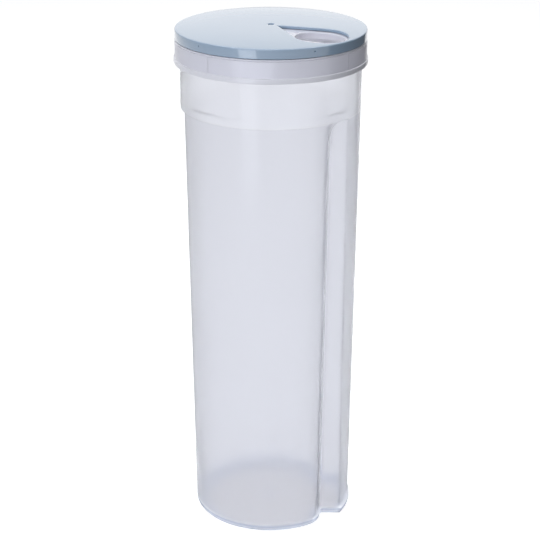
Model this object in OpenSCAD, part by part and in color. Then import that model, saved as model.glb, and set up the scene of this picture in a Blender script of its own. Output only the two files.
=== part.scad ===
// Cereal canister with a rotary pour lid.
//
// A tall frosted canister steps in below its neck. A grip spine runs down one side,
// flush with the neck, between two finger grooves that are closed at the top by a
// rounded run-out. A press-on lid covers the neck and carries the pour hole, a soft
// ring seals it on the canister's rim, and a dial with a teardrop opening turns over
// the hole to open and close it.
//
// Millimetres, +Z up. The origin is the centre of the foot on the standing plane, and
// the spine points along +X. Pieces that move on each other keep a named clearance.

/* [Canister] */
// Height of the canister from its foot to the top of its rim
canister_h = 266; // [200:0.5:320]
// Wall thickness of the canister
wall_t = 1.5; // [1.1:0.1:1.9]
// Thickness of the floor
floor_t = 2.4; // [1.6:0.1:4]
// Height of the neck, from the step to the top of the rim
neck_h = 33.6; // [22:0.1:60]
// How far the body steps in below the neck
step_in = 2; // [1.6:0.1:3]
// Radius of the rounded lip at the bottom of the neck
step_lip_r = 0.6; // [0.2:0.1:1.2]
// Draft of the body wall, degrees
body_draft = 1; // [0.5:0.05:1.4]
// Radius of the rounded edge round the foot
foot_edge_r = 3.6; // [2:0.1:4.5]
// Depth of the recess under the floor, inside the standing ring
foot_recess = 0.8; // [0.3:0.1:1.2]
// Width of the standing ring, inside the rounded edge
foot_ring_w = 2; // [1.2:0.1:4]
// How far the rim's bead stands out from the neck
rim_bead = 0.6; // [0.3:0.05:0.8]
// Height of the rim's bead
rim_bead_h = 2.2; // [1.5:0.1:4]

/* [Grip] */
// Width of the grip spine at the step
spine_w = 50.8; // [40:0.2:56]
// Draft of the spine's outer face, degrees
spine_draft = 0.7; // [0.4:0.05:1]
// Draft of each side of the spine, degrees
spine_side_draft = 1.25; // [0.6:0.05:1.6]
// Radius of the spine's two upright corners
spine_corner_r = 1.6; // [0.8:0.1:3]
// How far the spine flares out at its foot
foot_flare = 0.9; // [0:0.1:1.5]
// Height of the flared foot, from its rounded edge to its sweep
foot_flare_h = 0.4; // [0.2:0.1:4]
// Height of the sweep from the flared foot up to the spine
foot_sweep_h = 5.6; // [3:0.2:15]
// Distance of each finger groove's inner wall from the axis, at the step
groove_depth_x = 34; // [31:0.2:38]
// Draft of that wall, degrees
groove_draft = 0.75; // [0.4:0.05:1.2]
// Angle of that wall to the spine's outward direction, degrees
groove_turn = 8; // [2:1:14]
// Radius of the soft edge where the body turns into a groove
groove_edge_r = 12; // [2:0.5:12]
// Radius in the root of a groove
groove_root_r = 2; // [0.8:0.1:3]
// Height over which a groove runs out below the step
groove_runout_h = 10; // [5:0.5:20]

/* [Lid] */
// Outer radius of the lid and of the dial
lid_r = 50; // [44:0.5:60]
// Wall thickness of the lid's skirt
skirt_t = 1.6; // [1.2:0.1:2.2]
// Gap between the lid's skirt and the neck
skirt_gap = 1; // [0.9:0.1:1.6]
// Depth of the skirt below the face that meets the rim
skirt_h = 9.75; // [7:0.25:18]
// How far the bead at the bottom of the skirt stands out
hem_bead = 0.6; // [0.3:0.1:1.2]
// Height of that bead
hem_h = 2.7; // [1.5:0.1:4]
// Thickness of the ledge below the dial
ledge_t = 2.5; // [1.9:0.1:3.5]
// Height of the thin flange at the top of the skirt, above its groove
flange_h = 0.8; // [0.4:0.1:0.9]
// Thickness of the lid's plate
plate_t = 1.6; // [1.2:0.1:2.2]
// How much smaller than the opening's round end the pour hole's is, on the radius
hole_margin = 2; // [1.8:0.1:4]
// Thickness of the drum's wall at the far end of the pour hole
hole_land = 0.85; // [0.8:0.05:2]
// Distance from the axis to the inner end of the pour hole
hole_start = 20; // [17:0.5:22]
// Radius of the pour hole's inner end
hole_near_r = 10; // [8:0.5:10]
// Depth of the collar round the pour hole, from the top of the plate
collar_h = 3.3; // [2.4:0.1:3.4]
// Wall thickness of that collar
collar_t = 1.2; // [0.8:0.1:1.8]
// Length of the hub below the plate
hub_h = 4.2; // [3:0.1:4.8]
// Wall thickness of the hub
hub_t = 2.1; // [1.4:0.1:3]

/* [Dial] */
// Height of the dial's skirt
dial_h = 5.15; // [4.6:0.05:8]
// Wall thickness of the dial's skirt
dial_wall_t = 1.5; // [1.2:0.1:2]
// Thickness of the dial's plate
dial_t = 1.4; // [1.2:0.1:2]
// Rise of the domed plate from its edge to its centre
dome_rise = 1.45; // [1:0.05:2.5]
// Radius of the dial's outer edge
dial_edge_r = 0.7; // [0.4:0.1:1]
// Direction of the pour opening from the spine, degrees
spout_turn = -42.3; // [-180:0.1:180]
// Width of the land between the opening's round end and the dial's skirt
opening_land = 0.2; // [0.1:0.1:2]
// Radius of the opening's round end
opening_r = 14.2; // [13:0.1:15]
// Distance from the axis to the opening's point
opening_start = 5; // [4.6:0.1:8]
// Radius of the opening's point
opening_tip_r = 0.5; // [0.3:0.1:1]
// Radius of the dial's centre pin
pin_r = 3; // [2.4:0.1:3.4]
// Number of snap tabs inside the dial's skirt
tab_count = 5; // [3:1:8]
// Direction of the first snap tab from the pour opening, degrees
tab_turn = -22; // [-60:1:60]
// Width of one snap tab
tab_w = 9; // [5:0.5:16]
// How far a snap tab reaches in
tab_reach = 0.75; // [0.5:0.05:0.9]
// Radius of the gate well in the middle of the dial
gate_r = 1.75; // [1:0.05:2.2]
// Depth of that well
gate_d = 0.9; // [0.3:0.1:0.9]

/* [Seal] */
// Thickness of the seal ring
seal_t = 1.5; // [1.2:0.05:2]
// How far the seal ring stands out of its groove
seal_proud = 0.5; // [0.3:0.05:0.8]

/* [Clearances] */
// Gap between the dial and the lid, above, below and around
dial_gap = 0.3; // [0.2:0.05:0.4]
// Running clearance of the dial's pin in the lid's hub, on the radius
pin_gap = 0.05; // [0.02:0.01:0.1]
// Gap between the rim and the seal ring above it
seat_gap = 0.1; // [0.05:0.05:0.3]
// Gap between the rim's bead and the lid's snap ridge, on the radius
snap_gap = 0.15; // [0.1:0.05:0.3]
// Gap round the seal ring in its groove
seal_gap = 0.05; // [0.02:0.01:0.1]

/* [Hidden] */
$fn = 180;

// Heights, from the rim up through the lid to the dial
step_z = canister_h - neck_h;
shell_top_z = step_z + 4;
seat_z = canister_h + seat_gap + seal_proud;
hem_z = seat_z - skirt_h;
ledge_z = seat_z + ledge_t;
dial_z = ledge_z + dial_gap;
dial_top_z = dial_z + dial_h + dome_rise;

// Radii, from the lid in to the neck
skirt_in_r = lid_r - skirt_t;
neck_r = skirt_in_r - skirt_gap;
neck_in_r = neck_r - wall_t;
rim_r = neck_r + rim_bead;
snap_r = rim_r + snap_gap;
body_r = neck_r - step_in;
dome_r = lid_r - dial_edge_r;

// The drum on the lid that the dial snaps over
dial_in_r = lid_r - dial_wall_t;
opening_at = dial_in_r - opening_land - opening_r;
drum_bead_r = dial_in_r - dial_gap;
drum_r = dial_in_r - tab_reach - dial_gap;
tab_z = dial_z + 0.3;
tab_h = 0.8;
drum_bead_z = tab_z + tab_h + dial_gap;

// The seal's groove in the face above the rim
seal_in_r = neck_in_r + 0.5;
seal_out_r = skirt_in_r - 0.3;
seal_groove_z = seat_z + seal_t - seal_proud + seal_gap;

// The lid's snap ridge lies a little below the rim's bead
ridge_z = canister_h - rim_bead_h - 0.9;
ridge_h = 1;
ridge_slope = 0.3;

// The marks that the moulds' gates leave under the floor and on the lid
floor_gate_r = 2.5;
floor_gate_d = 0.3;
lid_gate_r = 1.3;
lid_gate_d = 0.4;
lid_gate_at = hole_start - 2.2;

// The pivot
bore_r = pin_r + pin_gap;
barb = 0.45;
barb_h = 1.7;
hub_z = dial_top_z - dial_t - dial_gap - plate_t - hub_h;

// The foot: its sweep starts above the rounded edge, which is tighter at the grip
sweep_z = foot_edge_r + foot_flare_h;
grip_edge_r = 0.9 * foot_edge_r;
recess_in = foot_edge_r + foot_ring_w;

// The moulded shell sits a hair inside the turned neck where the two overlap
joint_step = 0.08;
joint_lap = 1;
shell_r = neck_r - joint_step;
shell_in_r = neck_in_r + joint_step;

// ---------------------------------------------------------------- outline helpers

function mix(a, b, t) = a + (b - a) * t;

// 0 to 1 with a soft start and a soft end
function smooth(t) = let (u = max(0, min(1, t))) u * u * (3 - 2 * u);

// n + 1 points along an arc, or the n after its first where skip is 1
function arc(c, r, from, to, n, skip = 0) =
    [for (i = [skip:n]) let (a = mix(from, to, i / n)) c + r * [cos(a), sin(a)]];

// How far a vertical wall is drawn in at height z by a rounded bottom edge
function edge_inset(z, r) = z < r ? r - sqrt(r * r - pow(r - z, 2)) : 0;

// ---------------------------------------------------------------- canister outline

// Lengths of the outline at height z, before the wall is taken off
function drawn_in(z, draft) = (step_z - z) * tan(draft);
function flare(z) = foot_flare * (1 - smooth((z - sweep_z) / foot_sweep_h));
function body_at(z) = body_r - drawn_in(z, body_draft);
function spine_at(z) = shell_r - drawn_in(z, spine_draft) + flare(z);
function side_at(z) = spine_w / 2 - drawn_in(z, spine_side_draft) + flare(z) / 2;

// Direction of a groove's inner wall: its outward normal, and along it to the spine
wall_out = [cos(groove_turn), -sin(groove_turn)];
wall_along = [sin(groove_turn), cos(groove_turn)];

// Distance of a groove's inner wall, which swings out to the body's surface as the
// groove runs out below the step and leaves only a shallow notch there
notch = 1.2;
function groove_open(z) = groove_depth_x - drawn_in(z, groove_draft) + flare(z) / 2;
function groove_shut(z) =
    let (y = -(side_at(z) + notch))
    wall_out * [sqrt(pow(body_at(z), 2) - y * y), y];
function runout(z) =
    let (u = max(0, min(1, 1 - (step_z - z) / groove_runout_h)))
    1 - sqrt(1 - u * u);
function groove_at(z, lift) =
    mix(groove_open(z), groove_shut(z - lift), runout(z - lift));

// Half of the outline, from the back (-X) round to the middle of the spine (+X).
// body, spine: radii; side: half width of the spine; groove: distance of the wall.
function half_outline(body, spine, side, groove, inset) =
    let (
        wall_start = -sqrt(body * body - groove * groove),
        wall_end = (groove * sin(groove_turn) - side) / cos(groove_turn),
        wall_len = wall_end - wall_start,
        edge = min(max(groove_edge_r - inset, 0.6),
                   wall_len / 2 / tan(acos(groove / body) / 2)),
        root = min(groove_root_r + inset, 0.4 * wall_len),
        corner = max(spine_corner_r - inset, 0.4),
        edge_c = (groove - edge) * wall_out
                 - sqrt(pow(body - edge, 2) - pow(groove - edge, 2)) * wall_along,
        root_y = -(side + root),
        root_c = [(groove + root + sin(groove_turn) * root_y) / cos(groove_turn), root_y],
        corner_y = corner - side,
        corner_c = [sqrt(pow(spine - corner, 2) - corner_y * corner_y), corner_y],
        edge_a = atan2(edge_c.y, edge_c.x),
        corner_a = atan2(corner_c.y, corner_c.x)
    )
    concat(
        arc([0, 0], body, -180, edge_a, 32),
        arc(edge_c, edge, edge_a, -groove_turn, 6, 1),
        arc(root_c, root, 180 - groove_turn, 90, 5),
        arc(corner_c, corner, -90, corner_a, 5),
        arc([0, 0], spine, corner_a, 0, 8, 1)
    );

// The whole outline: one half and its mirror image
function whole(half) =
    concat(half, [for (i = [len(half) - 2:-1:1]) [half[i].x, -half[i].y]]);

// Outline at height z, drawn in by body_in round the body and grip_in round the grip
function outline(z, body_in, grip_in, lift = 0) =
    whole(half_outline(body_at(z) - body_in, spine_at(z) - grip_in,
                       side_at(z) - grip_in, groove_at(z, lift) - grip_in, grip_in));

// The same points pushed out to radius r, where they lie inside it
function pushed_out(points, r) = [for (p = points) p * max(1, r / norm(p))];

function at_height(points, z) = [for (p = points) [p.x, p.y, z]];

// One solid skin from a stack of outlines that all have the same number of points
module skin(rings) {
    n = len(rings[0]);
    last = len(rings) - 1;
    bands = [for (i = [0:last - 1], j = [0:n - 1])
        let (a = i * n + j, b = i * n + (j + 1) % n)
        each [[a, a + n, b + n], [a, b + n, b]]];
    caps = [[for (j = [0:n - 1]) j], [for (j = [n - 1:-1:0]) last * n + j]];
    polyhedron(points = [for (r = rings) each r], faces = concat(bands, caps));
}

// ---------------------------------------------------------------- canister

// Height at which a rounded edge of radius r has turned by step i of n
function edge_height(i, n, r) = r * (1 - cos(90 * i / n));

module canister_shell() {
    inset_z = floor_t + edge_height(4, 4, foot_edge_r - wall_t / 2);
    round_in = inset_z - floor_t;
    recess = [
        at_height(outline(0, recess_in + 0.6, recess_in + 0.6), foot_recess),
        at_height(outline(0, recess_in, recess_in), 0)];
    foot = [for (i = [0:5]) let (z = edge_height(i, 5, foot_edge_r))
        at_height(outline(z, edge_inset(z, foot_edge_r), edge_inset(z, grip_edge_r)), z)];
    sweep = [for (i = [0:4]) let (z = sweep_z + foot_sweep_h * i / 4)
        at_height(outline(z, 0, 0), z)];
    rise = [for (i = [0:7]) let (z = step_z - groove_runout_h * (1 - sin(90 * i / 7)))
        at_height(outline(z, 0, 0), z)];
    under_step = outline(step_z, 0, 0);
    lip = [for (i = [0:3]) let (a = 90 * i / 3)
        at_height(pushed_out(under_step, shell_r - step_lip_r * (1 - sin(a))),
                  step_z + 0.15 + step_lip_r * (1 - cos(a)))];
    inner_z = step_z + wall_t;
    over_step = outline(inner_z, wall_t, wall_t, wall_t);
    neck = [
        at_height(pushed_out(under_step, shell_r), shell_top_z),
        at_height(pushed_out(over_step, shell_in_r), shell_top_z),
        at_height(pushed_out(over_step, shell_in_r), inner_z + 0.6),
        at_height(pushed_out(over_step, shell_in_r - 0.4), inner_z + 0.2)];
    fall = [for (i = [6:-1:0]) let (z = inner_z - groove_runout_h * (1 - sin(90 * i / 6)))
        at_height(outline(z, wall_t, wall_t, wall_t), z)];
    floor_edge = [for (i = [4:-1:0])
        let (z = floor_t + edge_height(i, 4, round_in), e = edge_inset(z - floor_t, round_in))
        at_height(outline(max(z, sweep_z + foot_sweep_h), wall_t + e, wall_t + e, wall_t), z)];
    skin(concat(recess, foot, sweep, rise, lip, neck, fall, floor_edge));
}

module neck() {
    bead_z = canister_h - rim_bead_h;
    lip = wall_t / 3;
    start_z = shell_top_z - joint_lap;
    rotate_extrude()
        polygon(concat(
            [[neck_in_r, start_z], [neck_r, start_z], [neck_r, bead_z - rim_bead],
             [rim_r, bead_z]],
            arc([rim_r - lip, canister_h - lip], lip, 0, 90, 4),
            arc([neck_in_r + lip, canister_h - lip], lip, 90, 180, 4)));
}

module canister() {
    color([0.86, 0.88, 0.92, 0.6])
    difference() {
        union() {
            canister_shell();
            neck();
        }
        translate([0, 0, foot_recess + floor_gate_d - 2])
            cylinder(r = floor_gate_r, h = 2);
    }
}

// ---------------------------------------------------------------- dome and opening

// Top of the dial at radius r; the dome is flattest in the middle
function dome(r) = dial_top_z - dome_rise * pow(r / dome_r, 3);

// Points along the dome, lowered by drop, from radius a to radius b
function dome_line(a, b, drop, n = 12) =
    [for (i = [0:n]) let (r = mix(a, b, i / n)) [r, dome(r) - drop]];

// A drop shape along +X: a round end at a, a larger one at b, and sides that touch both
module drop_shape(at_a, r_a, at_b, r_b) {
    lean = acos((r_a - r_b) / (at_b - at_a));
    upper = [cos(lean), sin(lean)];
    lower = [cos(lean), -sin(lean)];
    a = [at_a, 0];
    b = [at_b, 0];
    translate(a) circle(r_a);
    translate(b) circle(r_b);
    polygon([a + r_a * upper, a + r_a * lower, b + r_b * lower, b + r_b * upper]);
}

module opening_shape() {
    drop_shape(opening_start + opening_tip_r, opening_tip_r, opening_at, opening_r);
}

// The pour hole lies inside the dial's opening, with a blunt inner end. grow widens it
// by that much all round.
module hole_shape(grow = 0) {
    far_r = opening_r - hole_margin;
    drop_shape(hole_start + hole_near_r, hole_near_r + grow,
               drum_r - hole_land - far_r, far_r + grow);
}

// ---------------------------------------------------------------- lid

module lid_body() {
    top = dial_t + dial_gap;
    drum_edge = 0.5;
    flange_z = ledge_z - flange_h;
    notch_d = 0.4;
    soft = 0.3;
    rotate_extrude()
        polygon(concat(
            dome_line(0, drum_bead_r - drum_edge, top),
            [[drum_bead_r, dome(drum_bead_r) - top - drum_edge],
             [drum_bead_r, drum_bead_z + tab_reach / 2],
             [drum_r, drum_bead_z],
             [drum_r, ledge_z]],
            arc([lid_r - soft, ledge_z - soft], soft, 90, 0, 3),
            [[lid_r, flange_z], [lid_r - notch_d, flange_z - notch_d / 2],
             [lid_r, flange_z - notch_d],
             [lid_r, hem_z + hem_h + 0.15], [lid_r + hem_bead - soft, hem_z + hem_h]],
            arc([lid_r + hem_bead - soft, hem_z + hem_h - soft], soft, 90, 0, 3, 1),
            arc([lid_r + hem_bead - soft, hem_z + soft], soft, 0, -90, 3),
            [[skirt_in_r + soft, hem_z], [skirt_in_r, hem_z + 3 * soft],
             [skirt_in_r, ridge_z - ridge_h], [snap_r, ridge_z - ridge_h + ridge_slope],
             [snap_r, ridge_z - ridge_slope], [skirt_in_r, ridge_z],
             [skirt_in_r, seat_z], [seal_out_r, seat_z],
             [seal_out_r, seal_groove_z], [seal_in_r, seal_groove_z],
             [seal_in_r, seat_z], [neck_in_r, seat_z]],
            dome_line(neck_in_r, 0, top + plate_t)));
}

module hole_collar() {
    bottom = dial_t + dial_gap + collar_h;
    intersection() {
        rotate([0, 0, spout_turn])
            translate([0, 0, seat_z])
                linear_extrude(dial_top_z - seat_z)
                    hole_shape(collar_t);
        rotate_extrude()
            polygon(concat(
                dome_line(0, drum_r - 0.2, dial_t + dial_gap + plate_t / 2),
                dome_line(drum_r - 0.2, 0, bottom)));
    }
}

module lid_base() {
    color([0.92, 0.92, 0.95])
    difference() {
        union() {
            lid_body();
            hole_collar();
            translate([0, 0, hub_z])
                cylinder(r = bore_r + hub_t, h = hub_h + plate_t / 2);
        }
        rotate([0, 0, spout_turn])
            translate([0, 0, ledge_z])
                linear_extrude(dial_top_z - ledge_z)
                    hole_shape();
        translate([0, 0, hub_z - 1])
            cylinder(r = bore_r, h = hub_h + 2 * plate_t + 1);
        rotate([0, 0, spout_turn])
            translate([lid_gate_at, 0, dome(lid_gate_at) - dial_t - dial_gap - lid_gate_d])
                cylinder(r = lid_gate_r, h = 1);
    }
}

module seal_ring() {
    color([0.85, 0.86, 0.88])
    rotate_extrude()
        translate([seal_in_r + seal_gap, seat_z - seal_proud])
            square([seal_out_r - seal_in_r - 2 * seal_gap, seal_t]);
}

// ---------------------------------------------------------------- dial

module dial_body() {
    soft = 0.3;
    rotate_extrude()
        polygon(concat(
            dome_line(0, dome_r, 0),
            arc([dome_r, dome(dome_r) - dial_edge_r], dial_edge_r, 75, 0, 4),
            arc([lid_r - soft, dial_z + soft], soft, 0, -90, 3),
            [[dial_in_r + soft, dial_z], [dial_in_r, dial_z + soft]],
            dome_line(dial_in_r, 0, dial_t)));
}

module snap_tabs() {
    for (i = [0:tab_count - 1])
        rotate([0, 0, spout_turn + tab_turn + i * 360 / tab_count])
            intersection() {
                rotate_extrude()
                    polygon([[dial_in_r + 0.2, tab_z], [dial_in_r - 0.1, tab_z],
                             [dial_in_r - tab_reach, tab_z + tab_h / 2],
                             [dial_in_r - tab_reach, tab_z + tab_h],
                             [dial_in_r + 0.2, tab_z + tab_h]]);
                translate([drum_r, -tab_w / 2, tab_z - 1])
                    cube([lid_r - drum_r, tab_w, tab_h + 2]);
            }
}

module centre_pin() {
    pin_t = 1.3;
    bore = pin_r - pin_t;
    top_z = dome(0) - dial_t / 2;
    barb_z = hub_z - dial_gap;
    end_z = barb_z - barb_h;
    difference() {
        rotate_extrude()
            polygon([[0, end_z], [pin_r - barb, end_z], [pin_r + barb, barb_z - 0.3],
                     [pin_r + barb, barb_z], [pin_r, barb_z], [pin_r, top_z], [0, top_z]]);
        translate([0, 0, end_z - 1])
            cylinder(r = bore, h = dome(0) - dial_t - 1 - end_z);
        translate([-pin_r - 1, -bore / 2, end_z - 1])
            cube([2 * pin_r + 2, bore, hub_h + 2]);
    }
}

module dial() {
    color([0.69, 0.75, 0.84])
    difference() {
        union() {
            dial_body();
            snap_tabs();
            centre_pin();
        }
        rotate([0, 0, spout_turn])
            translate([0, 0, tab_z + tab_h + 0.4])
                linear_extrude(dial_h + dome_rise)
                    opening_shape();
        translate([0, 0, dome(0) - gate_d])
            cylinder(r = gate_r, h = 1);
    }
}

canister();
lid_base();
seal_ring();
dial();
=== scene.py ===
"""Looks of a frosted cereal canister with a press-on lid and a turning dial.

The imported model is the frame. Each visible moulding is built here as a smooth, finely
rounded mesh in the place of its solid, and gets a procedural plastic. Lengths in the
classes are millimetres; meshes are metres, in the frame's own axes.
"""

from __future__ import annotations

import logging
import math
from dataclasses import dataclass
from enum import Enum
from typing import Sequence

import bmesh
import bpy
import numpy as np
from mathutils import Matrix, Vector, geometry

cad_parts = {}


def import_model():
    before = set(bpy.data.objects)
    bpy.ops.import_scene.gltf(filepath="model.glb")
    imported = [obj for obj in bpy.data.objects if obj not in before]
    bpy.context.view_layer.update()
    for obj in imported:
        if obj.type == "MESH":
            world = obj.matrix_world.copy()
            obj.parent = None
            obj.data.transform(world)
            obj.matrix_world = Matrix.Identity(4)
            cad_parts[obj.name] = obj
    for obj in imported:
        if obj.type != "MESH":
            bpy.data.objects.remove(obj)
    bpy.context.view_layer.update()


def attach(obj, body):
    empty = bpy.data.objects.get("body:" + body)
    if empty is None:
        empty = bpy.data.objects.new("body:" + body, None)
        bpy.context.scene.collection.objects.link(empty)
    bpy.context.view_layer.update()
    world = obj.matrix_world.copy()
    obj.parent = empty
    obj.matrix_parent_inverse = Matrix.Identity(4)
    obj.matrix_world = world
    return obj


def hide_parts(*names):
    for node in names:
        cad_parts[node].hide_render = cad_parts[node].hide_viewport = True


MM = 0.001  # metres in a millimetre
DOME_WEIGHT = "dome_weight"  # attribute: a point's share of the dome's fall
DOME_POWER = 3
MERGE_M = 2e-7  # points nearer than this become one
SLIVER_M = 1e-8  # edges shorter than this go
PLAN_MERGE = 1e-6
BORDER_SHARE = 0.45  # of the pitch: how near to its border a patch has points
RING_STEPS = 240
EDGE_STEPS = 5
SPOUT_TURN = -42.3  # degrees: where the pour hole and the dial's opening point
WEAR_START = 0.62
WEAR_SHARE = 0.5
LOG = logging.getLogger("canister")

Loop = list[int]
Rgb = tuple[float, float, float]
Heights = float | np.ndarray
Piece = bpy.types.Object
Socket = bpy.types.NodeSocket


class Body(Enum):
    """The bodies that the pieces ride on."""

    JAR = "jar"
    LID = "lid"
    DIAL = "dial"


class Slot(Enum):
    """The record's material slots."""

    FROSTED = "frosted_plastic"
    WHITE = "white_plastic"
    SEAL = "seal_rubber"
    BLUE = "blue_plastic"


class Join(Enum):
    """What a tool solid does to a piece."""

    ADD = "UNION"
    CUT = "DIFFERENCE"


# -------- plane geometry


def mix(a: Heights, b: Heights, t: float) -> Heights:
    """Returns the value a share t of the way from a to b."""
    return a + (b - a) * t


def smooth(t: float) -> float:
    """Returns t held between 0 and 1, with a soft start and a soft end."""
    u = max(0.0, min(1.0, t))
    return u * u * (3 - 2 * u)


def arc(
    centre: Sequence[float], radius: float, start: float, end: float, steps: int, skip: int = 0
) -> np.ndarray:
    """Returns points along an arc in degrees, without the first ones that it skips."""
    a = np.radians(np.linspace(start, end, steps + 1)[skip:])
    return np.column_stack([centre[0] + radius * np.cos(a), centre[1] + radius * np.sin(a)])


def circle(radius: float, steps: int = 360) -> np.ndarray:
    """Returns a full circle round the axis, without a repeated last point."""
    return arc((0, 0), radius, 0, 360, steps)[:-1]


def turned(points: np.ndarray, degrees: float) -> np.ndarray:
    """Returns the points turned about the axis."""
    c, s = math.cos(math.radians(degrees)), math.sin(math.radians(degrees))
    return points @ np.array([[c, s], [-s, c]])


def rounding(radius: float, steps: int) -> list[tuple[float, float]]:
    """Returns steps round a quarter edge: how far in from its wall, and below its face."""
    turns = [math.radians(90 * i / steps) for i in range(steps + 1)]
    return [(radius * (1 - math.sin(a)), radius * (1 - math.cos(a))) for a in turns]


def inside(p: Sequence[float], loop: np.ndarray) -> bool:
    """Tells whether a point lies inside a loop.

    Args:
        p: The point.
        loop: The loop's points, in plan.

    Returns:
        True where it does.
    """
    x0, y0 = loop[:, 0], loop[:, 1]
    x1, y1 = np.roll(x0, -1), np.roll(y0, -1)
    spans = (y0 > p[1]) != (y1 > p[1])
    with np.errstate(divide="ignore", invalid="ignore"):
        crossing = x0 + (p[1] - y0) * (x1 - x0) / (y1 - y0)
    return bool(np.count_nonzero(spans & (p[0] < crossing)) % 2)


@dataclass(frozen=True)
class DropOutline:
    """A drop: a small round end and a larger one, with sides that touch both."""

    near_at: float
    near_r: float
    far_at: float
    far_r: float
    heading: float

    def points(self, grow: float = 0.0) -> np.ndarray:
        """Points round the outline, always the same number in the same order.

        Args:
            grow: How far outside the drop the points lie.

        Returns:
            The points, turned to the drop's heading.
        """
        apart = self.far_at - self.near_at
        lean = math.degrees(math.acos((self.near_r - self.far_r) / apart))
        far = arc((self.far_at, 0), self.far_r + grow, -lean, lean, 120)
        near = arc((self.near_at, 0), self.near_r + grow, lean, 360 - lean, 28)
        side = np.linspace(far[-1], near[0], 40)[1:-1]
        back = np.linspace(near[-1], far[0], 40)[1:-1]
        return turned(np.vstack([far, side, near, back]), self.heading)


@dataclass(frozen=True)
class Dome:
    """The shallow dome that the dial and the lid's plate share."""

    top_z: float
    rise: float
    radius: float

    def drop(self, r: Heights) -> Heights:
        """Returns how far the dome has fallen at radius r."""
        return self.rise * (r / self.radius) ** DOME_POWER


# -------- meshes


class Skin:
    """Gathers loops of points and the faces between them, and makes one closed mesh."""

    def __init__(self) -> None:
        """Starts with no points."""
        self.points: list[tuple[float, float, float]] = []
        self.domed: list[float] = []
        self.faces: list[tuple[int, ...]] = []

    def loop(self, xy: np.ndarray, z: Heights, domed: float = 0.0) -> Loop:
        """Adds a loop of points.

        Args:
            xy: The points in plan.
            z: Their height, or one height for each.
            domed: Share of the dome's fall that they take.

        Returns:
            The indices of the points.
        """
        first = len(self.points)
        heights = np.broadcast_to(z, len(xy))
        self.points += [(float(x), float(y), float(h)) for (x, y), h in zip(xy, heights)]
        self.domed += [domed] * len(xy)
        return list(range(first, first + len(xy)))

    def bands(self, loops: Sequence[Loop]) -> None:
        """Joins each loop to the next by a band of quads.

        Args:
            loops: The loops in order, each with as many points.
        """
        for a, b in zip(loops, loops[1:]):
            n = len(a)
            self.faces += [(a[i], a[(i + 1) % n], b[(i + 1) % n], b[i]) for i in range(n)]

    def cap(self, loop: Loop) -> None:
        """Closes a loop by one flat face."""
        self.faces.append(tuple(loop))

    def solid(self, loops: Sequence[Loop]) -> None:
        """Joins each loop to the next, and closes both ends.

        Args:
            loops: The loops in order, each with as many points.
        """
        self.bands(loops)
        self.cap(loops[0])
        self.cap(loops[-1])

    def patch(
        self, outer: np.ndarray, holes: Sequence[np.ndarray], z: float, domed: float, pitch: float
    ) -> None:
        """Fills the area between an outer loop and some holes with even triangles.

        Args:
            outer: The outer loop, in plan.
            holes: The loops left open, in plan.
            z: The height of the area.
            domed: Share of the dome's fall that it takes.
            pitch: Distance between the points inside.
        """

        def filled(p: Sequence[float]) -> bool:
            """Returns whether point p lies in the area."""
            return inside(p, outer) and not any(inside(p, h) for h in holes)

        loops = [outer, *holes]
        edges: list[tuple[int, int]] = []
        plan: list[Vector] = []
        for points in loops:
            first, n = len(plan), len(points)
            plan += [Vector(p) for p in points]
            edges += [(first + i, first + (i + 1) % n) for i in range(n)]
        border = np.vstack(loops)
        reach = float(np.max(np.linalg.norm(outer, axis=1)))
        for k in range(int(reach / pitch) + 1):
            ring = circle(k * pitch, 6 * k) if k else np.zeros((1, 2))
            plan += [
                Vector(p) for p in ring
                if filled(p) and np.min(np.linalg.norm(border - p, axis=1)) > BORDER_SHARE * pitch
            ]
        flat, _, triangles, *_ = geometry.delaunay_2d_cdt(plan, edges, [], 0, PLAN_MERGE, False)
        first = len(self.points)
        self.points += [(p.x, p.y, z) for p in flat]
        self.domed += [domed] * len(flat)
        for t in triangles:
            if filled(np.array([sum(flat[i].x for i in t), sum(flat[i].y for i in t)]) / 3):
                self.faces.append(tuple(first + i for i in t))

    def build(self, name: str, sharp: float = 40.0) -> Piece:
        """Makes the mesh object, merged, facing outwards and shaded smooth.

        Args:
            name: The object's name.
            sharp: Edges that turn by more than this many degrees stay sharp.

        Returns:
            The object, linked to the scene.
        """
        bm = bmesh.new()
        weight = bm.verts.layers.float.new(DOME_WEIGHT)
        verts = []
        for p, w in zip(self.points, self.domed):
            v = bm.verts.new(Vector(p) * MM)
            v[weight] = w
            verts.append(v)
        for f in self.faces:
            corners = [verts[i] for i in f]
            if len(set(corners)) > 2:
                bm.faces.new(corners)
        bmesh.ops.remove_doubles(bm, verts=bm.verts, dist=MERGE_M)
        bmesh.ops.dissolve_degenerate(bm, edges=bm.edges, dist=SLIVER_M)
        bmesh.ops.recalc_face_normals(bm, faces=bm.faces)
        if bm.calc_volume(signed=True) < 0:
            bmesh.ops.reverse_faces(bm, faces=bm.faces)
        open_edges = sum(1 for e in bm.edges if len(e.link_faces) != 2)
        if open_edges:
            LOG.warning("%s has %d edges that don't join two faces", name, open_edges)
        mesh = bpy.data.meshes.new(name)
        bm.to_mesh(mesh)
        bm.free()
        soften(mesh, sharp)
        return placed(name, mesh)


def soften(mesh: bpy.types.Mesh, sharp: float) -> None:
    """Shades a mesh smooth, apart from edges that turn by more than sharp degrees."""
    mesh.shade_smooth()
    mesh.set_sharp_from_angle(angle=math.radians(sharp))


def placed(name: str, data: bpy.types.ID) -> Piece:
    """Puts a new object in the scene.

    Args:
        name: The object's name.
        data: The mesh, lamp or camera that it shows.

    Returns:
        The object.
    """
    piece = bpy.data.objects.new(name, data)
    bpy.context.scene.collection.objects.link(piece)
    return piece


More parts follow.
